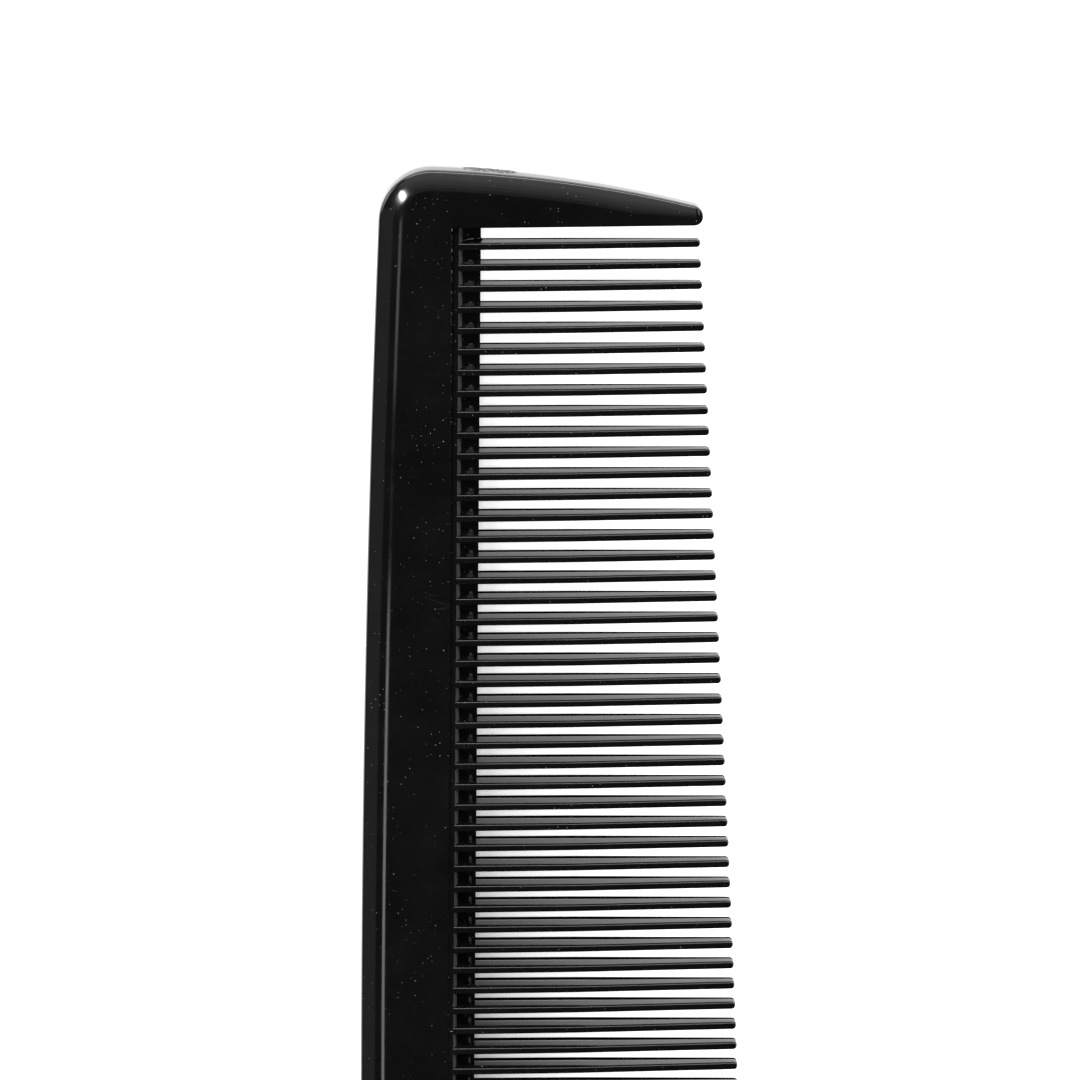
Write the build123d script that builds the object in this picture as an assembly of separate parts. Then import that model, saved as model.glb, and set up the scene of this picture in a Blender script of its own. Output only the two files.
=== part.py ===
from build123d import *
import math
import os

# A one-piece moulded hair comb, lying flat on its lower face. Millimetres.
# +X runs from the back of the comb to the tooth tips, +Y along the back, +Z up through the thickness.
# The origin is under the middle of the comb's box. The moulding is cut into its natural regions,
# which meet face to face: the spine, a guard tooth at each end, the root web and the banks of teeth.

# Whole comb
WIDTH = 36.3              # back to tooth tips, at the middle of the comb
THICKNESS = 3.7           # spine, face to face
END_Y = 101.5             # where the curve of an end edge would meet the back
MID_Z = THICKNESS / 2     # the mould's parting plane

# Spine
SPINE_WIDTH = 8.65        # back to the foot of the teeth, at the middle
SHOULDER_WIDTH = 0.35     # ledge beside the foot, level with the tooth faces
SHOULDER_LEAN = 0.6       # run over rise of the slope from the ledge up to the spine's face
BACK_RADIUS = 2250.0      # gentle bow of the back
END_RADIUS = 115.0        # curve of the end edges
CORNER_RADIUS = 5.0       # where the back turns into an end edge
BEVEL_WIDTH = 1.9         # shallow bevel round the outside of both faces
BEVEL_DROP = 0.3

# Teeth
PITCH = 2.0
TEETH_PER_BANK = 5
BANKS = 19
TOOTH_FACE_WIDTH = 0.6    # across the flat face of a tooth, at the gap root
TOOTH_TIP_WIDTH = 0.63    # the same at the tip, where the tooth is thinner
DRAFT = 5.0               # degrees that both sides of a tooth lean in from the parting plane
TOOTH_ROOT_DEPTH = 3.56   # through the thickness, at the gap root in the middle of the comb
TIP_DEPTH_RATIO = 0.53    # depth at the tip over depth at the gap root
BEND_SHARE = 0.4          # how far along from the gap root the faster taper starts
BEND_DEPTH_RATIO = 0.95   # depth there over depth at the gap root
NOSE_SPARE = 0.02         # the round nose is cut this much wider than the tooth
TIP_NOSE = 0.35           # length over which the faces of a tooth turn in at its tip
MIDDLE_ROUND = 16.0       # rounding of the tip line between its two straight flanks
TIP_FALL = 0.0524         # how fast the tip line falls back towards the ends
DEPTH_FALL = 0.0122       # how fast the teeth thin towards the ends

# Root web between the teeth
WEB_LENGTH = 2.15         # foot of the teeth to the gap root
WEB_FOOT_SHARE = 0.5      # its depth at the foot, over the depth of the teeth
WEB_EDGE_DEPTH = 0.2      # its thin edge at the gap root
ROOT_RISE = 0.0094        # how fast the gap roots lean towards the tips near the ends

# Guard teeth
FIRST_GAP = 1.58          # between a guard tooth and the first plain tooth
GUARD_TIP_X = 14.2
GUARD_TIP_RADIUS = 0.9
GUARD_FULL_X = -4.5       # the guard keeps the spine's thickness as far as here
GUARD_MIDDLE_X = 4.7
GUARD_MIDDLE_DEPTH = 3.4
GUARD_TIP_DEPTH = 3.0
GUARD_BEVEL_SHARE = 0.7   # the bevel takes no more than this share of a guard's width
GUARD_STATIONS = 8        # cross sections along each straight stretch of a guard
SHOULDER_STATIONS = 10    # cross sections of the ledge along each half of the comb

# Worked out from the above
BACK_X = -WIDTH / 2
TOOTH_COUNT = BANKS * TEETH_PER_BANK
LAST_TOOTH_Y = (TOOTH_COUNT - 1) / 2 * PITCH
GUARD_Y = LAST_TOOTH_Y + TOOTH_FACE_WIDTH / 2 + FIRST_GAP
DRAFT_SLOPE = math.tan(math.radians(DRAFT))
BACK_CORNER_X = BACK_X + END_Y**2 / (2 * BACK_RADIUS)


def foot_x(y):
    """Line where the teeth and the web leave the spine."""
    return BACK_X + SPINE_WIDTH + ROOT_RISE * abs(y)


def root_x(y):
    """Line of the gap roots, where the web ends."""
    return foot_x(y) + WEB_LENGTH


def taper(y):
    """Fall of the tip line: a straight flank each side of a rounded middle."""
    return math.hypot(y, MIDDLE_ROUND) - MIDDLE_ROUND


def tip_x(y):
    return WIDTH / 2 - TIP_FALL * taper(y)


def root_depth(y):
    return TOOTH_ROOT_DEPTH - DEPTH_FALL * taper(y)


def back_x(y, inset=0.0):
    return BACK_X + inset + y**2 / (2 * (BACK_RADIUS - inset))


def end_y(x, inset=0.0):
    """The curved edge of the +Y end."""
    return END_Y - inset - (x - BACK_CORNER_X) ** 2 / (2 * (END_RADIUS - inset))


def end_arc(start_x, stop_x, inset):
    """Stretch of the +Y end edge from one X position to another."""
    points = [(x, end_y(x, inset)) for x in (start_x, (start_x + stop_x) / 2, stop_x)]
    return ThreePointArc(*points)


def spine_outline(inset, z):
    """Plan of the spine at height z, with its outside edges moved in by inset."""
    split_x = foot_x(GUARD_Y)
    corner_x = back_x(END_Y - inset, inset)
    corner_y = end_y(corner_x, inset)
    back = ThreePointArc((corner_x, -corner_y), (BACK_X + inset, 0), (corner_x, corner_y))
    upper_end = end_arc(corner_x, split_x, inset)
    tooth_side = Polyline(
        (split_x, end_y(split_x, inset)),
        (split_x, GUARD_Y),
        (foot_x(0), 0),
        (split_x, -GUARD_Y),
        (split_x, -end_y(split_x, inset)),
    )
    plan = make_face([back, upper_end, tooth_side, mirror(upper_end, about=Plane.XZ)])
    corners = plan.vertices().sort_by(Axis.X)[:2]
    return Pos(0, 0, z) * fillet(corners, CORNER_RADIUS - inset)


def across_y(points, x):
    """Cross section at x, from points of Y and height about the parting plane."""
    return make_face(Polyline(*[(x, y, MID_Z + z) for y, z in points], close=True))


def along_x(points, y):
    """Cross section at y, from points of X and height about the parting plane."""
    return make_face(Polyline(*[(x, y, MID_Z + z) for x, z in points], close=True))


def symmetric(upper):
    """Outline from its upper half, mirrored in the parting plane."""
    return upper + [(across, -z) for across, z in reversed(upper)]


def shoulder_section(y):
    """What is cut away above the ledge beside the foot of the teeth."""
    ledge = root_depth(y) / 2
    clear = ledge + THICKNESS
    inner = foot_x(y) - SHOULDER_WIDTH
    return along_x(
        [(inner, ledge), (inner - SHOULDER_LEAN * THICKNESS, clear), (WIDTH, clear), (WIDTH, ledge)], y
    )


def spine():
    """The long bar that the teeth grow from, bevelled round its outside on both faces."""
    levels = ((BEVEL_WIDTH, 0), (0, BEVEL_DROP), (0, THICKNESS - BEVEL_DROP), (BEVEL_WIDTH, THICKNESS))
    bar = loft([spine_outline(inset, z) for inset, z in levels], ruled=True)
    step = GUARD_Y / SHOULDER_STATIONS
    stations = [number * step for number in range(-SHOULDER_STATIONS, SHOULDER_STATIONS + 1)]
    cut = loft([shoulder_section(y) for y in stations], ruled=True)
    return bar - cut - mirror(cut, about=Plane.XY.offset(MID_Z))


def guard_depth(x):
    """Thickness of a guard tooth, which thins faster towards its tip."""
    if x < GUARD_FULL_X:
        return THICKNESS
    if x < GUARD_MIDDLE_X:
        share = (x - GUARD_FULL_X) / (GUARD_MIDDLE_X - GUARD_FULL_X)
        return THICKNESS + share * (GUARD_MIDDLE_DEPTH - THICKNESS)
    share = (x - GUARD_MIDDLE_X) / (GUARD_TIP_X - GUARD_MIDDLE_X)
    return GUARD_MIDDLE_DEPTH + share * (GUARD_TIP_DEPTH - GUARD_MIDDLE_DEPTH)


def guard_section(x):
    """Cross section of the +Y guard, bevelled on its outer side."""
    half = guard_depth(x) / 2
    outer = end_y(x)
    bevel = min(BEVEL_WIDTH, GUARD_BEVEL_SHARE * (outer - GUARD_Y))
    upper = [(GUARD_Y, half), (outer - bevel, half), (outer, half - BEVEL_DROP)]
    return across_y(symmetric(upper), x)


def guard_stations():
    """X positions of the cross sections, from the spine to the tip."""
    turns = (foot_x(GUARD_Y), GUARD_FULL_X, GUARD_MIDDLE_X, GUARD_TIP_X)
    stations = [turns[0]]
    for start, end in zip(turns, turns[1:]):
        step = (end - start) / GUARD_STATIONS
        stations += [start + step * (number + 1) for number in range(GUARD_STATIONS)]
    return stations


def guard_tooth():
    """The broad tooth at the +Y end, which protects the others."""
    blade = loft([guard_section(x) for x in guard_stations()], ruled=True)
    nose_x = GUARD_TIP_X - GUARD_TIP_RADIUS
    nose_inner = (nose_x, GUARD_Y)
    nose_outer = (nose_x, GUARD_Y + 2 * GUARD_TIP_RADIUS)
    nose = ThreePointArc(nose_inner, (GUARD_TIP_X, GUARD_Y + GUARD_TIP_RADIUS), nose_outer)
    root = foot_x(GUARD_Y)
    sides = Polyline(nose_outer, (GUARD_MIDDLE_X, END_Y), (root, END_Y), (root, GUARD_Y), nose_inner)
    return blade & extrude(make_face([nose, sides]), amount=THICKNESS)


def half_width(x, y):
    """Half the width of the tooth at y, at the parting plane and at position x along it."""
    half_depth = root_depth(y) / 2
    at_root = TOOTH_FACE_WIDTH / 2 + half_depth * DRAFT_SLOPE
    at_tip = TOOTH_TIP_WIDTH / 2 + half_depth * TIP_DEPTH_RATIO * DRAFT_SLOPE
    return at_root + (at_tip - at_root) * (x - root_x(y)) / (tip_x(y) - root_x(y))


def tooth_section(x, y):
    """Cross section of the tooth at y before its faces are cut, full spine thickness."""
    half = half_width(x, y)
    face_half = half - MID_Z * DRAFT_SLOPE
    return across_y([(y + half, 0), (y + face_half, MID_Z), (y - face_half, MID_Z),
                     (y - half, 0), (y - face_half, -MID_Z), (y + face_half, -MID_Z)], x)


def tooth_plan(y):
    """Plan of a tooth, a little wider than the tooth itself, with its round nose."""
    tip = tip_x(y)
    radius = half_width(tip, y) + NOSE_SPARE
    reach = half_width(foot_x(y), y) + NOSE_SPARE
    low, high = y - reach, y + reach
    nose_high = (tip - radius, y + radius)
    nose_low = (tip - radius, y - radius)
    sides = Polyline(nose_high, (foot_x(high), high), (foot_x(low), low), nose_low)
    return make_face([sides, ThreePointArc(nose_low, (tip, y), nose_high)])


def tooth(y):
    """One plain tooth: level over the web, thinning slowly to the bend and faster to its round tip."""
    tip = tip_x(y)
    root_half = root_depth(y) / 2
    bend = root_x(y) + BEND_SHARE * (tip - root_x(y))
    tip_half = root_half * TIP_DEPTH_RATIO
    start = foot_x(y) - SHOULDER_WIDTH
    upper = [
        (start, root_half),
        (root_x(y), root_half),
        (bend, root_half * BEND_DEPTH_RATIO),
        (tip - TIP_NOSE, tip_half),
        (tip, tip_half / 2),
    ]
    blank = loft([tooth_section(start, y), tooth_section(tip, y)], ruled=True)
    side = extrude(along_x(symmetric(upper), y), amount=PITCH / 2, both=True)
    return blank & side & extrude(tooth_plan(y), amount=THICKNESS)


def tooth_wall(y, side):
    """The +Y or -Y side of the tooth at y: its Y at position x and height z off the parting plane."""
    return lambda x, z: y + side * (half_width(x, y) - z * DRAFT_SLOPE)


def guard_wall(side):
    """The inner side of a guard tooth, which has no draft."""
    return lambda x, z: side * GUARD_Y


def web_end(line, height, walls, middle):
    """Upper half of a web cell's outline on its foot line or its root line, between two walls."""
    low, high = walls
    x = line(middle)
    corners = [(low(x, 0), 0), (high(x, 0), 0), (high(x, height), height), (low(x, height), height)]
    return make_face(Polyline(*[(line(y), y, MID_Z + z) for y, z in corners], close=True))


def web_cell(walls):
    """Upper half of the wedge of web between two neighbouring teeth."""
    low, high = walls
    middle = (low(foot_x(0), 0) + high(foot_x(0), 0)) / 2
    foot_height = root_depth(middle) / 2 * WEB_FOOT_SHARE
    ends = [
        web_end(foot_x, foot_height, walls, middle),
        web_end(root_x, WEB_EDGE_DEPTH / 2, walls, middle),
    ]
    return loft(ends, ruled=True)


def tooth_positions():
    """Y of every plain tooth, from the +Y end."""
    return [LAST_TOOTH_Y - number * PITCH for number in range(TOOTH_COUNT)]


def upper_web():
    """The upper halves of all the web cells, from one guard tooth to the other."""
    walls = [guard_wall(1)]
    for y in tooth_positions():
        walls += [tooth_wall(y, 1), tooth_wall(y, -1)]
    walls.append(guard_wall(-1))
    return Compound([web_cell((low, high)).solid() for high, low in zip(walls[::2], walls[1::2])])


def tooth_bank(number):
    """Neighbouring teeth, counted from the +Y end."""
    first = number * TEETH_PER_BANK
    positions = tooth_positions()[first:first + TEETH_PER_BANK]
    return Compound([tooth(y).solid() for y in positions])


def build():
    """Every region of the moulding, by node name."""
    guard = guard_tooth()
    web = upper_web()
    nodes = {
        "spine": spine(),
        "guard_tooth_front": guard,
        "guard_tooth_rear": mirror(guard, about=Plane.XZ),
        "root_web_upper": web,
        "root_web_lower": mirror(web, about=Plane.XY.offset(MID_Z)),
    }
    for number in range(BANKS):
        nodes[f"tooth_bank_{number + 1:02d}"] = tooth_bank(number)
    return nodes


os.makedirs("parts", exist_ok=True)
for name, shape in build().items():
    export_step(shape, f"parts/{name}.step")
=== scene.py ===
import bmesh
import bpy
import math
import random
from mathutils import Matrix, Vector


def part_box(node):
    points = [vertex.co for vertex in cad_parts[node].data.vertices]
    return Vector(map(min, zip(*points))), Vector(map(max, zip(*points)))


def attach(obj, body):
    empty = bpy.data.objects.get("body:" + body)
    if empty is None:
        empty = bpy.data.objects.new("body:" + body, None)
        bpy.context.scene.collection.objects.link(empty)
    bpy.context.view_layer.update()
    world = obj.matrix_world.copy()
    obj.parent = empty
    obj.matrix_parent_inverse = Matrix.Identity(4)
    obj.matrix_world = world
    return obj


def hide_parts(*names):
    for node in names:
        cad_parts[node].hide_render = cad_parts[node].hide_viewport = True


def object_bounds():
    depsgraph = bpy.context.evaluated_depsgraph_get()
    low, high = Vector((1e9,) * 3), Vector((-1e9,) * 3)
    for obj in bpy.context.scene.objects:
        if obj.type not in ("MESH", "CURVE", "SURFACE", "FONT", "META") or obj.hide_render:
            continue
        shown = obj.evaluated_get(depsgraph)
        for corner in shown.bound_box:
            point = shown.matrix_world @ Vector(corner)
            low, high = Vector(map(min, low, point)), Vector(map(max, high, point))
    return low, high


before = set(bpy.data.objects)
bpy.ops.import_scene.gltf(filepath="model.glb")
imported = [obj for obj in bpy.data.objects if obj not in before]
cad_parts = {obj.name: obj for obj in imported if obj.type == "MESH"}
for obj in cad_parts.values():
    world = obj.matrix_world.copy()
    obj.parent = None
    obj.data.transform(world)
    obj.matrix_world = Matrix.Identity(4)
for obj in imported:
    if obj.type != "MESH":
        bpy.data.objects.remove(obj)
cad_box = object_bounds()

# ---------------------------------------------------------------- sizes
# Millimetres, as in the CAD frame: X from the back to the tooth tips, Y along the comb, Z up.
MM = 0.001


def box_mm(node):
    low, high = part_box(node)
    return [value / MM for value in low], [value / MM for value in high]


spine_low, spine_high = box_mm("spine")
guard_low, guard_high = box_mm("guard_tooth_front")
middle_low, middle_high = box_mm("tooth_bank_10")

BACK_X = spine_low[0]
WIDTH = middle_high[0] - BACK_X
HALF_THICKNESS = (spine_high[2] - spine_low[2]) / 2
MID_Z = spine_low[2] + HALF_THICKNESS
SPLIT_X = guard_low[0]              # where a guard tooth leaves the spine
GUARD_Y = guard_low[1]              # inner side of a guard tooth
GUARD_TIP_X = guard_high[0]
END_Y = 101.49                      # where the curve of an end edge would meet the back
BACK_RADIUS = 2250.0
END_RADIUS = 115.0
CORNER_RADIUS = 5.0
BEVEL_WIDTH = 2.2                   # from the outline to the middle of the crease beside the face
CORNER_PASSES = 6                   # enough to settle the corner's centre between back and end edge

PITCH = 2.0
TEETH_PER_BANK = 5
BANKS = 19
LAST_TOOTH_Y = (BANKS * TEETH_PER_BANK - 1) / 2 * PITCH
FACE_WIDTH = 0.6
TIP_FACE_WIDTH = 0.63
DRAFT_SLOPE = math.tan(math.radians(5.0))
ROOT_HALF_DEPTH = (middle_high[2] - middle_low[2]) / 2
DEPTH_FALL = 0.0122
TIP_FALL = 0.0524
TIP_DEPTH_RATIO = 0.53
BEND_SHARE = 0.4                    # how far along a tooth its faster taper starts
BEND_DEPTH_RATIO = 0.95
MIDDLE_ROUND = 16.0

SPINE_WIDTH = 8.65
ROOT_RISE = 0.0094
WEB_LENGTH = 2.15
SHOULDER_WIDTH = 0.35
SHOULDER_LEAN = 0.6

GUARD_FULL_X = -4.5                 # a guard tooth keeps the spine's thickness as far as here
GUARD_MIDDLE_X = 4.7
GUARD_MIDDLE_HALF = 1.7             # half its depth there
GUARD_TIP_HALF = 1.5
GUARD_BEVEL_SHARE = 0.7             # its bevel takes no more than this share of its width

EDGE_ROUND = 0.1                    # rounding of the teeth's edges
GUARD_ROUND = 0.16                  # rounding of a guard tooth's inner edge
BACK_CORNER_X = BACK_X + END_Y ** 2 / (2 * BACK_RADIUS)


def foot_x(y):
    return BACK_X + SPINE_WIDTH + ROOT_RISE * abs(y)


def root_x(y):
    return foot_x(y) + WEB_LENGTH


def taper(y):
    return math.hypot(y, MIDDLE_ROUND) - MIDDLE_ROUND


def tip_x(y):
    return BACK_X + WIDTH - TIP_FALL * taper(y)


def half_depth(y):
    """Half the depth of a tooth at its root."""
    return ROOT_HALF_DEPTH - DEPTH_FALL / 2 * taper(y)


def half_width(x, y):
    """Half the width of the tooth at y, at the parting plane."""
    at_root = FACE_WIDTH / 2 + half_depth(y) * DRAFT_SLOPE
    at_tip = TIP_FACE_WIDTH / 2 + half_depth(y) * TIP_DEPTH_RATIO * DRAFT_SLOPE
    return at_root + (at_tip - at_root) * (x - root_x(y)) / (tip_x(y) - root_x(y))


def end_y(x):
    return END_Y - (x - BACK_CORNER_X) ** 2 / (2 * END_RADIUS)


def back_x(y):
    return BACK_X + y ** 2 / (2 * BACK_RADIUS)


def spread(start, stop, count):
    """Evenly spaced values from start to stop."""
    return [start + (stop - start) * number / (count - 1) for number in range(count)]


# ---------------------------------------------------------------- mesh helpers
MERGE_MM = 0.0005
SHARP_ANGLE = math.radians(32)
ROUND_SHARE = 0.38                  # a rounding takes no more than this share of a side
HOLD = 1.25                         # where the flat beside a rounding is held, over the rounding's reach
WALL_HOLD = 0.06                    # height above the parting plane at which a wall is held flat


class Shell:
    """Collects points and faces of one piece, in millimetres, with z about the parting plane."""

    def __init__(self):
        self.points = []
        self.faces = []
        self.finishes = {}

    def add(self, points):
        """Store the points and return their numbers."""
        base = len(self.points)
        self.points += points
        return list(range(base, base + len(points)))

    def strip(self, first, second):
        """Quads between two open rows of point numbers."""
        for spot in range(len(first) - 1):
            self.faces.append((first[spot], first[spot + 1], second[spot + 1], second[spot]))

    def tube(self, rings, capped=True):
        """Join closed rings of equal length, one after another, and return their point numbers."""
        rows = [self.add(ring) for ring in rings]
        for first, second in zip(rows, rows[1:]):
            self.strip(first + first[:1], second + second[:1])
        if capped:
            self.faces.append(tuple(rows[0]))
            self.faces.append(tuple(rows[-1]))
        return rows

    def piece(self, name, nodes, *materials):
        """Make the Blender object that stands for the CAD nodes; finishes gives faces their materials."""
        mesh = bpy.data.meshes.new(name)
        mesh.from_pydata([(x * MM, y * MM, (z + MID_Z) * MM) for x, y, z in self.points], [], self.faces)
        shape = bmesh.new()
        shape.from_mesh(mesh)
        shape.faces.ensure_lookup_table()
        for number, finish in self.finishes.items():
            shape.faces[number].material_index = finish
        bmesh.ops.remove_doubles(shape, verts=shape.verts, dist=MERGE_MM * MM)
        bmesh.ops.recalc_face_normals(shape, faces=shape.faces)
        for face in shape.faces:
            face.smooth = True
        shape.to_mesh(mesh)
        shape.free()
        mesh.set_sharp_from_angle(angle=SHARP_ANGLE)
        for material in materials:
            mesh.materials.append(material)
        piece = bpy.data.objects.new(name, mesh)
        bpy.context.scene.collection.objects.link(piece)
        if nodes:
            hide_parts(*nodes)
        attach(piece, "root")
        return piece


def closed(upper):
    """A closed ring from its upper half, which runs from one point on the parting plane to another."""
    return upper + [(x, y, -z) for x, y, z in reversed(upper[1:-1])]


def rounded(before, corner, after, radius, steps=5):
    """A rounded corner in any two coordinates, with one more point on each flat to hold it flat."""
    def toward(target, stretch):
        length = math.dist(corner, target)
        reach = stretch * min(radius, ROUND_SHARE * length) / length
        return tuple(c + (t - c) * reach for c, t in zip(corner, target))

    start, stop = toward(before, 1.0), toward(after, 1.0)
    points = [toward(before, HOLD)]
    for share in spread(0.0, 1.0, steps):
        weights = ((1 - share) ** 2, 2 * share * (1 - share), share ** 2)
        points.append(tuple(sum(w * p for w, p in zip(weights, trio)) for trio in zip(start, corner, stop)))
    return points + [toward(after, HOLD)]


# ---------------------------------------------------------------- outside edge, in section
CREASE_HALF = 0.28                  # half the width over which the bevel turns into the face
OUTER_SLOPE = math.tan(math.radians(16))
INNER_SLOPE = math.tan(math.radians(5))
WALL_SLOPE = math.tan(math.radians(3))
RIM_ROUND = 0.42
RIM_FLAT = 0.5                      # stretch of bevel that the rim's rounding is laid against
CREASE_SPARE = 0.05                 # flat face past the crease


def crown_fall(inset, width):
    """How far the crowned bevel lies below the face."""
    bend = width - CREASE_HALF
    if inset >= bend:
        share = max(0.0, width + CREASE_HALF - inset) / (2 * CREASE_HALF)
        return INNER_SLOPE * CREASE_HALF * share ** 2
    slope = OUTER_SLOPE + (INNER_SLOPE - OUTER_SLOPE) * inset / bend
    return INNER_SLOPE * CREASE_HALF + (bend - inset) * (slope + INNER_SLOPE) / 2


def outer_section(half, width):
    """(inset, height) from the parting plane up the side wall and over the bevel to the face."""
    rim_inset = WALL_SLOPE * (half - crown_fall(0.0, width))
    rim = (rim_inset, half - crown_fall(rim_inset, width))
    beyond = rim_inset + RIM_FLAT
    section = [(0.0, 0.0), (WALL_HOLD * WALL_SLOPE, WALL_HOLD)]
    section += rounded((0.0, 0.0), rim, (beyond, half - crown_fall(beyond, width)), RIM_ROUND)
    bend = width - CREASE_HALF
    insets = spread(rim_inset + RIM_ROUND * 1.5, bend, 7) + spread(bend, width + CREASE_HALF, 6)[1:]
    section += [(inset, half - crown_fall(inset, width)) for inset in insets]
    return section + [(width + CREASE_HALF + CREASE_SPARE, half)]


def inner_section(half):
    """(distance in, height) from the parting plane up a guard tooth's inner side to its face."""
    return [(0.0, 0.0), (0.0, WALL_HOLD)] + rounded((0.0, 0.0), (0.0, half), (1.0, half), GUARD_ROUND)


# ---------------------------------------------------------------- spine
BACK_STATIONS = 41
CORNER_STATIONS = 15
END_STATIONS = 5
LEDGE_ROUND = 0.08
LEDGE_HOLLOW = 0.05                 # rounding where the ledge meets the slope up to the face
STRIP_RUN = 0.4                     # the steep strip between the teeth: how far it runs
STRIP_DROP = 0.72                   # and how far it falls
WALL_START = 1                      # first point of a section above the parting plane
FOOT_SPOT = 13                      # where the ledge's edge starts to turn down, in a shoulder section


def shoulder_section(y):
    """(x, height) from the face down over the ledge and the steep strip to the parting plane."""
    half = half_depth(y)
    ledge_x = foot_x(y) - SHOULDER_WIDTH
    top = (ledge_x - SHOULDER_LEAN * (HALF_THICKNESS - half), HALF_THICKNESS)
    inner = (ledge_x, half)
    edge = (foot_x(y) + LEDGE_ROUND, half)
    low = (edge[0] + half * STRIP_RUN / STRIP_DROP, 0.0)
    section = rounded((top[0] - 1, HALF_THICKNESS), top, inner, LEDGE_ROUND, 4)
    section += rounded(top, inner, edge, LEDGE_HOLLOW, 4)
    section += rounded(inner, edge, low, LEDGE_ROUND, 5)
    return section + [low]


def outline_place(x, y, along_x, along_y):
    """A place on the outline with its inward direction, from the direction of travel toward +X."""
    length = math.hypot(along_x, along_y)
    return (x, y), (along_y / length, -along_x / length)


def end_outline():
    """Places on the outline from the back, round the +Y corner, to the split with the guard tooth."""
    centre_y = END_Y - CORNER_RADIUS
    for _ in range(CORNER_PASSES):
        centre_x = back_x(centre_y) + CORNER_RADIUS
        centre_y = end_y(centre_x) - CORNER_RADIUS
    start = math.pi - math.atan(centre_y / BACK_RADIUS)
    stop = math.pi / 2 - math.atan((centre_x - BACK_CORNER_X) / END_RADIUS)
    places = []
    for angle in spread(start, stop, CORNER_STATIONS):
        c, s = math.cos(angle), math.sin(angle)
        places.append(outline_place(centre_x + CORNER_RADIUS * c, centre_y + CORNER_RADIUS * s, s, -c))
    last_x = places[-1][0][0]
    for x in spread(last_x, SPLIT_X, END_STATIONS)[1:]:
        turn = (SPLIT_X - x) / (SPLIT_X - last_x)
        slope = -(x - BACK_CORNER_X) / END_RADIUS
        places.append(outline_place(x, end_y(x), 1.0, slope * turn))
    return places


def edge_column(shell, place, side):
    """The outside edge at one place of the outline, as rows of point numbers above and below."""
    (x, y), (in_x, in_y) = place
    section = outer_section(HALF_THICKNESS, BEVEL_WIDTH)
    upper = shell.add([(x + inset * in_x, side * (y + inset * in_y), z) for inset, z in section])
    lower = shell.add([(x + inset * in_x, side * (y + inset * in_y), -z) for inset, z in section[1:]])
    return upper, upper[:1] + lower


def close_end(shell, ring, side):
    """The solid end beyond the last gap, from the last ring of the bar to the guard tooth."""
    outer_count = len(outer_section(HALF_THICKNESS, BEVEL_WIDTH))
    half_ring = len(ring) // 2
    mirror_ring = ring[:1] + ring[:half_ring - 1:-1]
    columns = [(ring[:outer_count], mirror_ring[:outer_count])]
    columns += [edge_column(shell, place, side) for place in end_outline()]
    for first, second in zip(columns, columns[1:]):
        shell.strip(first[0], second[0])
        shell.strip(first[1], second[1])
    ends = []
    for level, half in ((1, ring), (-1, mirror_ring)):
        which = 0 if level > 0 else 1
        shoulder = half[outer_count:half_ring + 1]
        chain = shell.add([
            (SPLIT_X, side * (GUARD_Y + depth), level * z)
            for depth, z in reversed(inner_section(HALF_THICKNESS)[WALL_START + 1:])
        ])
        shell.faces.append(tuple([column[which][-1] for column in columns] + chain[:1] + shoulder[:1]))
        for first, second in zip(chain, chain[1:]):
            shell.faces.append((shoulder[0], first, second))
        shell.faces.append(tuple(shoulder[:FOOT_SPOT + 1] + chain[-1:]))
        ends.append((columns[-1][which], chain, shoulder[FOOT_SPOT:]))
    (upper_edge, upper_chain, upper_foot), (lower_edge, lower_chain, lower_foot) = ends
    split = upper_edge + upper_chain + upper_foot[:1] + lower_foot[:1]
    shell.faces.append(tuple(split + lower_chain[::-1] + lower_edge[:0:-1]))
    shell.faces.append(tuple(upper_foot + lower_foot[-2::-1]))


def mark_strip(shell, rows):
    """The steep strip beside the web, above and below, came from a less polished mould insert; its plastic is
    also painted paler, a painted sheen for the light the strip catches.
    """
    count = len(rows[0])
    outer_count = len(outer_section(HALF_THICKNESS, BEVEL_WIDTH))
    strip_start = outer_count + FOOT_SPOT + 2
    strip_spots = range(strip_start, count - outer_count - FOOT_SPOT - 2)
    for row in range(len(rows) - 1):
        shell.finishes.update({row * count + spot: 1 for spot in strip_spots})


def make_spine(material, painted_sheen_satin):
    shell = Shell()
    section = outer_section(HALF_THICKNESS, BEVEL_WIDTH)
    rings = []
    for y in spread(-GUARD_Y, GUARD_Y, BACK_STATIONS):
        (x, y), (in_x, in_y) = outline_place(back_x(y), y, y / BACK_RADIUS, 1.0)
        upper = [(x + inset * in_x, y + inset * in_y, z) for inset, z in section]
        upper += [(shoulder_x, y, z) for shoulder_x, z in shoulder_section(y)]
        rings.append(closed(upper))
    rows = shell.tube(rings, capped=False)
    mark_strip(shell, rows)
    close_end(shell, rows[0], -1)
    close_end(shell, rows[-1], 1)
    return shell.piece("comb_spine", ["spine"], material, painted_sheen_satin)


# ---------------------------------------------------------------- guard teeth
GUARD_STATIONS = 40
NOSE_STATIONS = 9
NOSE_TURN = math.radians(86)        # a round nose stops just short of a right angle
GUARD_NOSE = 0.8                    # length of the round nose at a guard's tip
GUARD_NOSE_FALL = 0.42              # how far its faces turn in over the nose


def guard_half(x):
    """Half the depth of a guard tooth."""
    if x < GUARD_FULL_X:
        return HALF_THICKNESS
    if x < GUARD_MIDDLE_X:
        share = (x - GUARD_FULL_X) / (GUARD_MIDDLE_X - GUARD_FULL_X)
        return HALF_THICKNESS + share * (GUARD_MIDDLE_HALF - HALF_THICKNESS)
    share = (x - GUARD_MIDDLE_X) / (GUARD_TIP_X - GUARD_MIDDLE_X)
    return GUARD_MIDDLE_HALF + share * (GUARD_TIP_HALF - GUARD_MIDDLE_HALF)


def nose_turns(count):
    """Shares (of the nose's length, of its inward turn) for the stations of a round nose."""
    return [(math.sin(turn), 1 - math.cos(turn)) for turn in spread(0.0, NOSE_TURN, count)]


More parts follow.
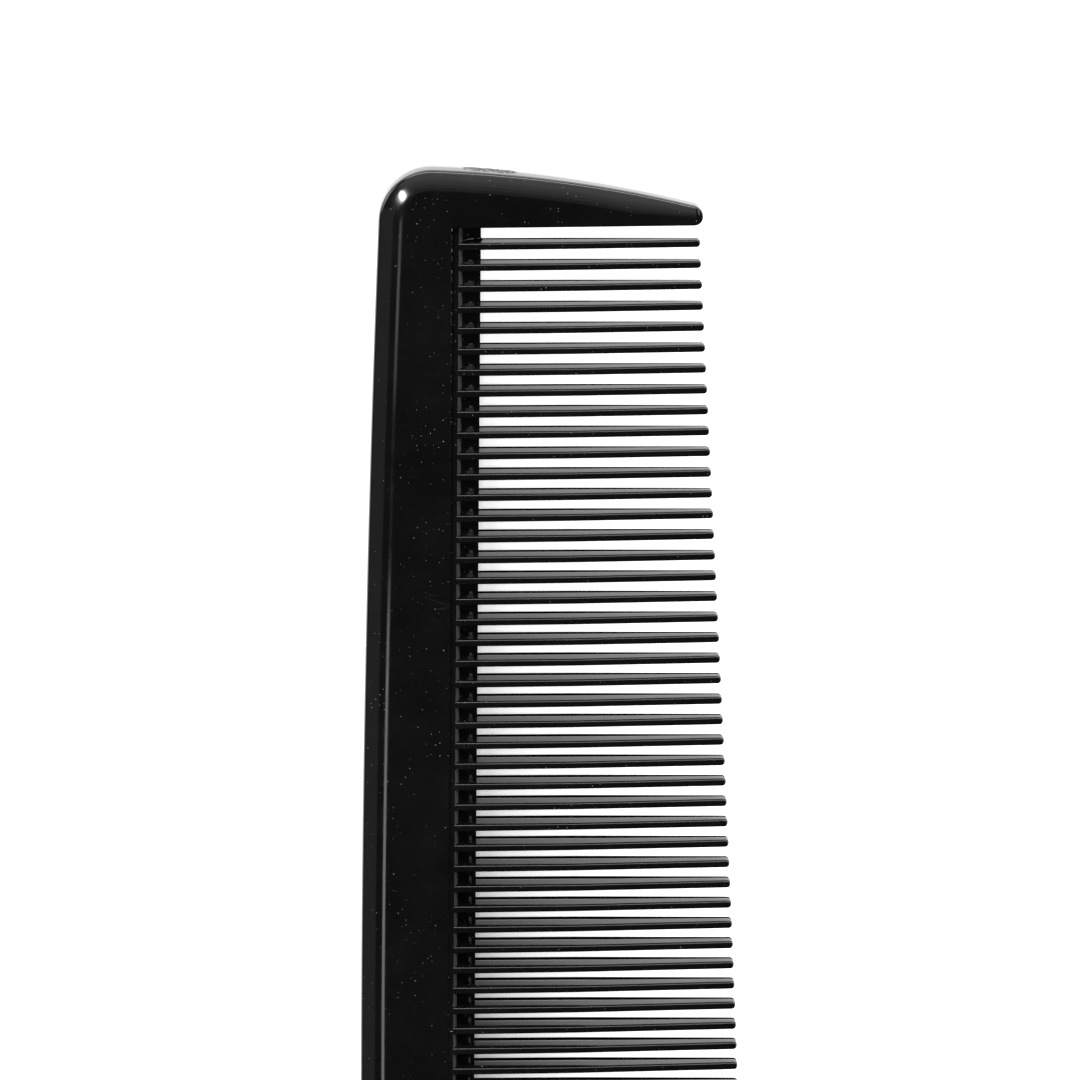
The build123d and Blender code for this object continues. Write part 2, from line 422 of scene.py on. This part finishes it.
def guard_ring(x, side, lost=0.0):
    """Section of a guard tooth at x. Over its round nose, lost rises from 0 to nearly 1."""
    half = guard_half(x)
    outer = end_y(x)
    width = min(BEVEL_WIDTH, GUARD_BEVEL_SHARE * (outer - GUARD_Y))
    upper = [(GUARD_Y + depth, z) for depth, z in inner_section(half)]
    upper += [(outer - inset, z) for inset, z in reversed(outer_section(half, width))]
    middle = (GUARD_Y + outer) / 2
    narrow = 1 - GUARD_NOSE * lost / (outer - middle)
    thin = 1 - GUARD_NOSE_FALL * lost / half
    return closed([(x, side * (middle + (y - middle) * narrow), z * thin) for y, z in upper])


def make_guard(name, node, side, material):
    shell = Shell()
    nose_x = GUARD_TIP_X - GUARD_NOSE
    rings = [guard_ring(x, side) for x in spread(SPLIT_X, nose_x, GUARD_STATIONS)]
    for along, lost in nose_turns(NOSE_STATIONS)[1:]:
        rings.append(guard_ring(nose_x + GUARD_NOSE * along, side, lost))
    shell.tube(rings)
    return shell.piece(name, [node], material)


# ---------------------------------------------------------------- gate mark
MARK_START, MARK_STOP = -8.4, -2.8  # along the +Y end edge
MARK_HALF_HEIGHT = 0.95
MARK_ROUGH = 0.05
MARK_RAGGED = 0.06                  # how far its outline wanders, as a share of its height
MARK_DEPTH = 0.3                    # how far it is set into the wall


def make_gate_mark(material):
    """The rough patch on the end edge where the moulding was sheared from its runner."""
    draw = random.Random(7)
    shell = Shell()
    rows = []
    for x in spread(MARK_START, MARK_STOP, 71):
        along = (x - MARK_START) / (MARK_STOP - MARK_START)
        reach = MARK_HALF_HEIGHT * (1 - abs(2 * along - 1) ** 4) ** 0.5
        row = []
        for across in spread(-1.0, 1.0, 17):
            rim = max(0.0, 1 - max(abs(across), abs(2 * along - 1)) ** 6)
            rise = MARK_ROUGH * (draw.uniform(-0.6, 1.0) * rim - 0.4 * (1 - rim))
            ragged = reach * across * (1 + draw.uniform(-MARK_RAGGED, MARK_RAGGED))
            row.append((x, end_y(x) + rise - abs(ragged) * WALL_SLOPE, ragged))
        rows.append(row)
    top = [shell.add(row) for row in rows]
    bottom = [shell.add([(x, end_y(x) - MARK_DEPTH, z) for x, y, z in row]) for row in rows]
    for sheet in (top, bottom):
        for first, second in zip(sheet, sheet[1:]):
            shell.strip(first, second)
    for edge in (0, -1):
        shell.strip(top[edge], bottom[edge])
        shell.strip([row[edge] for row in top], [row[edge] for row in bottom])
    return shell.piece("comb_gate_mark", [], material)


# ---------------------------------------------------------------- plain teeth
TOOTH_NOSE = 0.36
TOOTH_NOSE_FALL = 0.42
TOOTH_STATIONS = 9
TOOTH_NOSE_STATIONS = 7
FOOT_DEPTH = 0.34                   # how far a tooth starts inside the spine
FOOT_SINK = 0.008                   # and how far below the ledge it starts
TOOTH_RISE = 0.002                  # how far it stands proud of the ledge after that
MIN_FACE_HALF = 0.01                # half the least width of its face, at the nose
SIDE_HOLD = 0.05                    # height above the parting plane at which its side is held flat
# Bands along a tooth's lower and upper edges get black plastic with no gloss, painted shade that renders as
# black lines
MIN_SHADE_BAND_LEVEL = 0.1                # the bands of painted shade start no nearer to the parting plane than this
MIN_SHADE_BAND_STEP = 0.02                # and their inner limits are at least this far apart
SHADE_BAND_HEIGHT = 1.4                   # how far the lower band reaches up a tooth's side: painted shade for the contact shadow between tooth and table
SHADE_BAND_TOP = 0.32                     # and how far the upper band of painted shade reaches down
UPPER_SHADE_BAND = (3, 17)                # places round a tooth's ring, counted from its +Y side
LOWER_SIDES = (21, 22, 40, 41)      # less glossy, from the parting plane down to the lower band of painted shade
LOWER_FACE_SPOT = 31                # the lower face, which keeps its gloss
LOWER_SHADE_BAND = tuple(spot for spot in range(23, 40) if spot != LOWER_FACE_SPOT)


def tooth_top(x, y):
    """Half the depth of the tooth at x: level over the web, thinning slowly, then faster."""
    share = max(0.0, (x - root_x(y)) / (tip_x(y) - root_x(y)))
    slow = 1 + (BEND_DEPTH_RATIO - 1) * share / BEND_SHARE
    fast = BEND_DEPTH_RATIO + (TIP_DEPTH_RATIO - BEND_DEPTH_RATIO) * (share - BEND_SHARE) / (1 - BEND_SHARE)
    return half_depth(y) * min(slow, fast)


def tooth_ring(x, y, sink=0.0, lost=0.0):
    """Section of a tooth at x, sunk on both faces. Over its round nose, lost rises from 0 to nearly 1."""
    half = tooth_top(x, y) - sink - TOOTH_NOSE_FALL * lost
    wide = half_width(x, y) - TOOTH_NOSE * lost
    face = max(MIN_FACE_HALF, wide - half * DRAFT_SLOPE)
    shade_level = max(MIN_SHADE_BAND_LEVEL, half - SHADE_BAND_HEIGHT)
    top = max(shade_level + MIN_SHADE_BAND_STEP, half - SHADE_BAND_TOP)
    low = [(wide - level * DRAFT_SLOPE, level) for level in (0.0, SIDE_HOLD, shade_level, top)]
    corner = rounded((wide, 0.0), (face, half), (-face, half), EDGE_ROUND)
    upper = low + corner + [(-across, z) for across, z in reversed(low + corner)]
    return closed([(x, y + across, z) for across, z in upper])


def add_tooth(shell, y):
    """One tooth, from just inside the spine to its round tip."""
    foot, root, tip = foot_x(y), root_x(y), tip_x(y)
    nose_x = tip - TOOTH_NOSE
    rings = [tooth_ring(foot - FOOT_DEPTH, y, sink=FOOT_SINK)]
    places = [foot - 0.02, root - 0.5, root - 0.15, root + 0.15, root + 0.5]
    places += spread(root + 0.5, nose_x, TOOTH_STATIONS)[1:]
    rings += [tooth_ring(x, y, -TOOTH_RISE) for x in places]
    for along, lost in nose_turns(TOOTH_NOSE_STATIONS)[1:]:
        rings.append(tooth_ring(nose_x + TOOTH_NOSE * along, y, -TOOTH_RISE, lost))
    start, count = len(shell.faces), len(rings[0])
    shell.tube(rings)
    for number in range(len(rings) - 1):
        shell.finishes.update({start + number * count + spot: 1 for spot in LOWER_SIDES})
        shell.finishes.update({start + number * count + spot: 2 for spot in UPPER_SHADE_BAND + LOWER_SHADE_BAND})


def make_teeth(*materials):
    for bank in range(BANKS):
        shell = Shell()
        for number in range(TEETH_PER_BANK):
            add_tooth(shell, LAST_TOOTH_Y - PITCH * (bank * TEETH_PER_BANK + number))
        shell.piece(f"comb_teeth_{bank + 1:02d}", [f"tooth_bank_{bank + 1:02d}"], *materials)


# ---------------------------------------------------------------- web between the teeth
WEB_START = 0.2                     # where a cell starts, hidden behind the steep strip
WEB_FLOOR_START = 0.5               # where its floor leaves the foot of the strip
WEB_POWER = 1.7                     # how hollow the floor is
WEB_LIP = 0.05                      # half the depth of its thin edge
CELL_ROUND = 0.06                   # fillets between the floor and the teeth, at the gap
END_CELL_ROUND = 0.3                # the same in the cells beside the guard teeth
FILLET_SHARE = 0.7                  # size of the fillets beside the spine, against those at the gap
FLARE_POWER = 6                     # how late they grow from one to the other
WALL_SINK = 0.05                    # how far a cell is set into its walls
FLOOR_SHARES = (0.04, 0.25, 0.5, 0.75, 0.96)    # rows along a cell's floor, from wall to wall


def floor_line(y):
    """(x, height, normal) along the web's floor, from the spine to its thin edge."""
    start = foot_x(y) + WEB_FLOOR_START
    length = root_x(y) - start
    drop = half_depth(y) - STRIP_DROP
    line = []
    for share in spread((WEB_START - WEB_FLOOR_START) / length, 1.0, 12):
        left = 1 - share
        slope = WEB_POWER * drop * left ** (WEB_POWER - 1) / length
        size = math.hypot(1.0, slope)
        line.append((start + share * length - WEB_LIP * max(0.0, share), WEB_LIP + drop * left ** WEB_POWER,
                     (slope / size, 1 / size)))
    line.append((root_x(y) - WEB_LIP * 0.3, WEB_LIP * 0.7, (0.7, 0.7)))
    line.append((root_x(y), 0.0, (1.0, 0.0)))
    return line


def add_cell(shell, low_wall, high_wall, radius):
    """The web between two walls, thin at its edge and curving up into both walls."""
    middle = (low_wall(foot_x(0), 0) + high_wall(foot_x(0), 0)) / 2
    line = floor_line(middle)
    turns = [(radius * (1 - math.cos(turn)), radius * (1 - math.sin(turn)))
             for turn in spread(0.0, math.pi / 2, 6)]
    columns = [(-WALL_SINK, radius)] + turns
    shares = spread(0.0, 1.0, len(line))
    flare = [FILLET_SHARE + (1 - FILLET_SHARE) * share ** FLARE_POWER for share in shares]
    sides = []
    for wall, sign in ((low_wall, 1), (high_wall, -1)):
        rings = []
        for inside, rise in columns:
            upper = [(line[0][0], wall(line[0][0], 0.0) + sign * inside * flare[0], 0.0)]
            for (x, z, normal), size in zip(line, flare):
                across, up = x + rise * size * normal[0], z + rise * size * normal[1]
                upper.append((across, wall(across, up) + sign * inside * size, up))
            rings.append(closed(upper))
        sides.append(rings)
    low_rings, high_rings = sides
    between = []
    for share in FLOOR_SHARES:
        between.append([
            tuple(a + (b - a) * share for a, b in zip(low, high))
            for low, high in zip(low_rings[-1], high_rings[-1])
        ])
    shell.tube(low_rings + between + high_rings[::-1])


def tooth_wall(y, side):
    """The y of a tooth's side at x and a height, as a function."""
    return lambda x, z: y + side * (half_width(x, y) - z * DRAFT_SLOPE)


def guard_wall(side):
    return lambda x, z: side * GUARD_Y


def make_web(material):
    shell = Shell()
    walls = [guard_wall(1)]
    for number in range(BANKS * TEETH_PER_BANK):
        y = LAST_TOOTH_Y - PITCH * number
        walls += [tooth_wall(y, 1), tooth_wall(y, -1)]
    walls.append(guard_wall(-1))
    cells = list(zip(walls[::2], walls[1::2]))
    for number, (high, low) in enumerate(cells):
        at_end = number in (0, len(cells) - 1)
        add_cell(shell, low, high, END_CELL_ROUND if at_end else CELL_ROUND)
    return shell.piece("comb_root_web", ["root_web_upper", "root_web_lower"], material)


# ---------------------------------------------------------------- materials
class Nodes:
    """Short ways to build a node tree."""

    def __init__(self, material):
        material.use_nodes = True
        self.tree = material.node_tree
        self.tree.nodes.clear()

    def add(self, kind, inputs=None, **settings):
        node = self.tree.nodes.new(kind)
        for name, value in settings.items():
            setattr(node, name, value)
        for socket, value in (inputs or {}).items():
            if isinstance(value, bpy.types.NodeSocket):
                self.tree.links.new(value, node.inputs[socket])
            else:
                node.inputs[socket].default_value = value
        return node

    def math(self, operation, first, second=0.0):
        return self.add("ShaderNodeMath", {0: first, 1: second}, operation=operation).outputs[0]

    def remap(self, value, low, high, to_low=0.0, to_high=1.0):
        inputs = {"Value": value, "From Min": low, "From Max": high, "To Min": to_low, "To Max": to_high}
        return self.add("ShaderNodeMapRange", inputs).outputs["Result"]

    def noise(self, vector, scale, detail=3.0, roughness=0.5):
        inputs = {"Vector": vector, "Scale": scale, "Detail": detail, "Roughness": roughness}
        return self.add("ShaderNodeTexNoise", inputs)

    def stretch(self, vector, scale, turn=0.0):
        inputs = {"Vector": vector, "Scale": scale, "Rotation": (0.0, 0.0, math.radians(turn))}
        return self.add("ShaderNodeMapping", inputs).outputs["Vector"]


WOBBLE_SCALE = 16000.0              # fine noise that makes the specks' outlines irregular
SPECK_EDGE = 0.4                    # soft part of a speck, as a share of its size
SCRATCH_STRETCH = 0.08              # scale of the pattern along a scratch, against across it
SCRATCH_WIDTH = 0.012
SCRATCH_PATCHES = 240.0             # scale of the patches that scratches are gathered in
PATCH_EDGE = 0.08


def specks(nodes, place, spacing, size, share):
    """Small irregular specks: 1 on a speck, 0 elsewhere. Spacing and size are in metres."""
    wobble = nodes.noise(place, WOBBLE_SCALE, 1.0)
    shifted = nodes.add("ShaderNodeVectorMath", {0: wobble.outputs["Color"], 1: (size, size, size)},
                        operation="MULTIPLY").outputs[0]
    moved = nodes.add("ShaderNodeVectorMath", {0: place, 1: shifted}, operation="ADD").outputs[0]
    cells = nodes.add("ShaderNodeTexVoronoi", {"Vector": moved, "Scale": 1 / spacing})
    split = nodes.add("ShaderNodeSeparateColor", {"Color": cells.outputs["Color"]})
    chosen = nodes.remap(split.outputs["Red"], 1 - share, 1.0)
    reach = nodes.math("MULTIPLY", chosen, size / spacing)
    inside = nodes.math("SUBTRACT", reach, cells.outputs["Distance"])
    return nodes.remap(inside, 0.0, SPECK_EDGE * size / spacing)


def scratches(nodes, place, turn, spacing, share):
    """Hairline scratches in one direction: 1 on a scratch."""
    lined = nodes.stretch(place, (SCRATCH_STRETCH, 1.0, 1.0), turn)
    cells = nodes.add("ShaderNodeTexVoronoi", {"Vector": lined, "Scale": 1 / spacing},
                      feature="DISTANCE_TO_EDGE")
    line = nodes.remap(cells.outputs["Distance"], 0.0, SCRATCH_WIDTH, 1.0, 0.0)
    patches = nodes.noise(place, SCRATCH_PATCHES, 2.0).outputs["Fac"]
    patch = nodes.remap(patches, 1 - share, 1 - share + PATCH_EDGE)
    return nodes.math("MULTIPLY", line, patch)


# Specks of dust, each kind as spacing and size in metres and the share of spots that carry one
FINE_DUST = (0.0004, 0.00006, 0.8)
COARSE_DUST = (0.0032, 0.0001, 0.4)
DASHES = (0.0013, 0.00006, 0.35)
DASH_STRETCH = (0.3, 1.0, 1.0)
DASH_TURN = 8.0
DUST_COLOUR = (0.5, 0.49, 0.47, 1)
DUST_STRENGTH = 0.5
# Scratches, each direction as its turn in degrees, spacing in metres and how readily their patches appear
SCRATCHES = ((14.0, 0.0013, 0.34), (-38.0, 0.0015, 0.34))
SCRATCH_PALENESS = 0.04
SCRATCH_DEPTH = 0.08
HAZE_SCALE = 150.0
FLOW_STRETCH = (0.3, 1.0, 1.0)      # the haze runs along the comb's width, as the plastic flowed
FLOW_SCALE = 420.0
FLOW_DEPTH = 0.3
MARK_BLUR = 0.3                     # how much rougher dust and scratches are
PLASTIC_TONES = (0.0024, 0.0041)    # darkest and lightest black
PLASTIC_IOR = 1.53
BUMP_STRENGTH = 0.12
BUMP_DEPTH = 0.00002                # metres

# Least and most roughness of each finish
GLOSS_ROUGHNESS = (0.05, 0.12)
SATIN_ROUGHNESS = (0.28, 0.36)
SIDE_ROUGHNESS = (0.18, 0.26)
SHADE_BAND_ROUGHNESS = (0.7, 0.8)
MARK_ROUGHNESS = (0.45, 0.6)


def black_plastic(name, roughness, scuff_and_sheen=1.0, shine=0.5):
    """Black moulded plastic with haze, handling scratches and pale dust; the scuff factor pales it all over,
    as real scuffing on the gate mark and as a painted sheen on the steep strip.
    """
    material = bpy.data.materials.new(name)
    nodes = Nodes(material)
    place = nodes.add("ShaderNodeTexCoord").outputs["Object"]
    fine_dust = specks(nodes, place, *FINE_DUST)
    coarse_dust = specks(nodes, place, *COARSE_DUST)
    dashes = specks(nodes, nodes.stretch(place, DASH_STRETCH, DASH_TURN), *DASHES)
    clusters = nodes.remap(nodes.noise(place, 130.0, 3.0).outputs["Fac"], 0.4, 0.62)
    dust = nodes.math("MAXIMUM", nodes.math("MULTIPLY", fine_dust, clusters), coarse_dust)
    dust = nodes.math("MAXIMUM", dust, nodes.math("MULTIPLY", dashes, clusters))
    lines = nodes.math("MAXIMUM", *[scratches(nodes, place, *kind) for kind in SCRATCHES])
    marks = nodes.math("MAXIMUM", dust, nodes.math("MULTIPLY", lines, SCRATCH_PALENESS))
    haze = nodes.noise(place, HAZE_SCALE, 4.0, 0.62).outputs["Fac"]
    flow = nodes.noise(nodes.stretch(place, FLOW_STRETCH), FLOW_SCALE, 3.0).outputs["Fac"]
    tone = nodes.remap(haze, 0.3, 0.7)
    dark, light = ((level * scuff_and_sheen, level * scuff_and_sheen, level * scuff_and_sheen, 1) for level in PLASTIC_TONES)
    base = nodes.add("ShaderNodeMix", {0: tone, 6: dark, 7: light}, data_type="RGBA").outputs[2]
    cover = nodes.math("MULTIPLY", marks, DUST_STRENGTH)
    colour = nodes.add("ShaderNodeMix", {0: cover, 6: base, 7: DUST_COLOUR}, data_type="RGBA").outputs[2]
    smear = nodes.remap(haze, 0.35, 0.75, *roughness)
    gloss = nodes.math("ADD", smear, nodes.math("MULTIPLY", marks, MARK_BLUR))
    waves = nodes.math("MULTIPLY", flow, FLOW_DEPTH)
    relief = nodes.math("SUBTRACT", waves, nodes.math("MULTIPLY", lines, SCRATCH_DEPTH))
    bump = nodes.add("ShaderNodeBump", {"Strength": BUMP_STRENGTH, "Distance": BUMP_DEPTH, "Height": relief})
    surface = nodes.add("ShaderNodeBsdfPrincipled", {
        "Base Color": colour, "Roughness": gloss, "IOR": PLASTIC_IOR, "Specular IOR Level": shine,
        "Normal": bump.outputs["Normal"]})
    nodes.add("ShaderNodeOutputMaterial", {"Surface": surface.outputs["BSDF"]})
    return material


SHADOWED_TABLE_GLOW = 0.32                   # glow at its dimmest, beside the tooth roots, where it is dimmed as a painted shadow of the comb
GLOW_RISE = 1.3                     # how much brighter it is away from there
GLOW_REACH = 0.02                   # metres over which it rises
END_GLOW = 0.7                      # how much of the painted shadow beside the roots is lifted at the comb's +Y end
END_GLOW_START = 0.015              # metres along the comb where that starts
END_GLOW_STOP = 0.095
TABLE_TONES = ((0.83, 0.83, 0.825, 1), (0.87, 0.87, 0.87, 1))
TABLE_ROUGHNESS = 0.85


def pale_table():
    """Matt white acrylic table that glows as a light table; its glow is dimmed beside the tooth roots as a
    painted shadow of the comb, less so toward the comb's +Y end.
    """
    material = bpy.data.materials.new("pale_table")
    nodes = Nodes(material)
    place = nodes.add("ShaderNodeTexCoord").outputs["Object"]
    grain = nodes.noise(place, 35.0, 5.0, 0.6).outputs["Fac"]
    dark, light = TABLE_TONES
    colour = nodes.add("ShaderNodeMix", {0: grain, 6: dark, 7: light}, data_type="RGBA").outputs[2]
    ways = nodes.add("ShaderNodeSeparateXYZ", {0: place}).outputs
    aside = nodes.math("ABSOLUTE", nodes.math("SUBTRACT", ways["X"], root_x(0) * MM))
    away = nodes.remap(aside, 0.0, GLOW_REACH)
    along = nodes.remap(ways["Y"], END_GLOW_START, END_GLOW_STOP, 0.0, END_GLOW)
    toward_end = nodes.math("MULTIPLY", along, nodes.math("SUBTRACT", 1.0, away))
    # painted shadow: the glow is lowest beside the tooth roots and rises away from them
    glow_with_painted_shadow = nodes.math("ADD", nodes.remap(away, 0.0, 1.0, SHADOWED_TABLE_GLOW, SHADOWED_TABLE_GLOW + GLOW_RISE), toward_end)
    surface = nodes.add("ShaderNodeBsdfPrincipled", {
        "Base Color": colour, "Roughness": TABLE_ROUGHNESS,
        "Emission Color": colour, "Emission Strength": glow_with_painted_shadow})
    nodes.add("ShaderNodeOutputMaterial", {"Surface": surface.outputs["BSDF"]})
    return material


# ---------------------------------------------------------------- stage
FLOOR_SIZE = 3.0                    # metres
STUDIO_COLOUR = (0.03, 0.03, 0.031, 1)
GRADED_PANELS = 12                  # overhead strips, brighter toward +Y
GRADED_START = 0.1
GRADED_STEP = 0.06
GRADED_RADIANCE = 0.2


def make_floor():
    mesh = bpy.data.meshes.new("floor")
    shape = bmesh.new()
    bmesh.ops.create_grid(shape, x_segments=8, y_segments=8, size=FLOOR_SIZE)
    shape.to_mesh(mesh)
    shape.free()
    mesh.materials.append(pale_table())
    floor = bpy.data.objects.new("floor", mesh)
    floor.location = (0.0, 0.0, cad_box[0][2])
    bpy.context.scene.collection.objects.link(floor)


def add_panel(name, place, target, size, radiance, turn=0.0):
    """A soft light at place, facing target. A turn swings its first side from +X and makes it an ellipse."""
    light = bpy.data.lights.new(name, "AREA")
    light.shape = "ELLIPSE" if turn else "RECTANGLE"
    light.size, light.size_y = size
    light.energy = radiance * size[0] * size[1] * math.pi * (math.pi / 4 if turn else 1.0)
    away = (Vector(place) - Vector(target)).normalized()
    along = Vector((math.cos(math.radians(turn)), math.sin(math.radians(turn)), 0.0))
    across = away.cross(along).normalized()
    along = across.cross(away)
    lamp = bpy.data.objects.new(name, light)
    lamp.matrix_world = Matrix.Translation(place) @ Matrix((along, across, away)).transposed().to_4x4()
    bpy.context.scene.collection.objects.link(lamp)


def make_world():
    """A dark studio: the pale table is the only thing that the black plastic mirrors low down."""
    world = bpy.data.worlds.new("studio")
    nodes = Nodes(world)
    background = nodes.add("ShaderNodeBackground", {"Color": STUDIO_COLOUR})
    nodes.add("ShaderNodeOutputWorld", {"Surface": background.outputs["Background"]})
    bpy.context.scene.world = world


def make_lights():
    centre = (0.0, 0.04, 0.0)
    add_panel("left_panel", (-0.75, 0.34, 0.62), centre, (0.4, 0.5), 8.0)
    add_panel("right_panel", (0.75, 0.55, 0.62), centre, (0.4, 0.9), 2.0)
    for step in range(GRADED_PANELS):
        place = (0.0, GRADED_START + GRADED_STEP * step, 0.95)
        add_panel(f"graded_panel_{step + 1}", place, centre, (0.6, GRADED_STEP), GRADED_RADIANCE * (step + 1))
    add_panel("front_panel", (0.0, 1.05, 0.72), centre, (1.4, 0.3), 14.0)
    add_panel("corner_light", (-0.222, 0.11, 1.0), centre, (0.18, 0.062), 45.0, turn=127.0)
    add_panel("back_panel", (-0.5, -0.25, 0.85), centre, (0.5, 0.6), 0.22)
    add_panel("back_strip", (-0.098, -0.245, 0.95), centre, (0.07, 0.12), 3.4)
    add_panel("back_strip_end", (-0.098, -0.115, 0.95), centre, (0.07, 0.04), 1.6)


CAMERA_PLACE = (-0.00095, 0.2709, 0.8207)       # metres
CAMERA_TILT = -14.077               # degrees
CAMERA_LEAN = -2.1                  # degrees; stands for the comb lying tipped onto its tapered teeth
LENS_MM = 300.0
SENSOR_MM = 36.0


def make_camera():
    lens = bpy.data.cameras.new("camera")
    lens.lens = LENS_MM
    lens.sensor_width = SENSOR_MM
    camera = bpy.data.objects.new("camera", lens)
    pivot = Vector((CAMERA_PLACE[0], 0.0, MID_Z * MM))
    tilted = Matrix.Translation(CAMERA_PLACE) @ Matrix.Rotation(math.radians(CAMERA_TILT), 4, "X")
    lean = Matrix.Rotation(math.radians(CAMERA_LEAN), 4, "Y")
    camera.matrix_world = Matrix.Translation(pivot) @ lean @ Matrix.Translation(-pivot) @ tilted
    bpy.context.scene.collection.objects.link(camera)
    bpy.context.scene.camera = camera


plastic = black_plastic("black_gloss", GLOSS_ROUGHNESS)
# The steep strip's plastic is painted twenty times paler than the rest, a painted sheen for the light the
# strip catches.
make_spine(plastic, black_plastic("black_satin_painted_sheen", SATIN_ROUGHNESS, scuff_and_sheen=20.0))
make_guard("comb_guard_front", "guard_tooth_front", 1, plastic)
make_guard("comb_guard_rear", "guard_tooth_rear", -1, plastic)
make_gate_mark(black_plastic("black_mark", MARK_ROUGHNESS, scuff_and_sheen=4.0))
make_web(plastic)
side = black_plastic("black_side", SIDE_ROUGHNESS)
# The teeth's edge bands get black plastic with no gloss, a painted shade that renders them as black lines.
make_teeth(plastic, side, black_plastic("black_shade_band", SHADE_BAND_ROUGHNESS, shine=0.0))
make_floor()
make_world()
make_lights()
make_camera()
bpy.context.scene.view_settings.view_transform = "Standard"
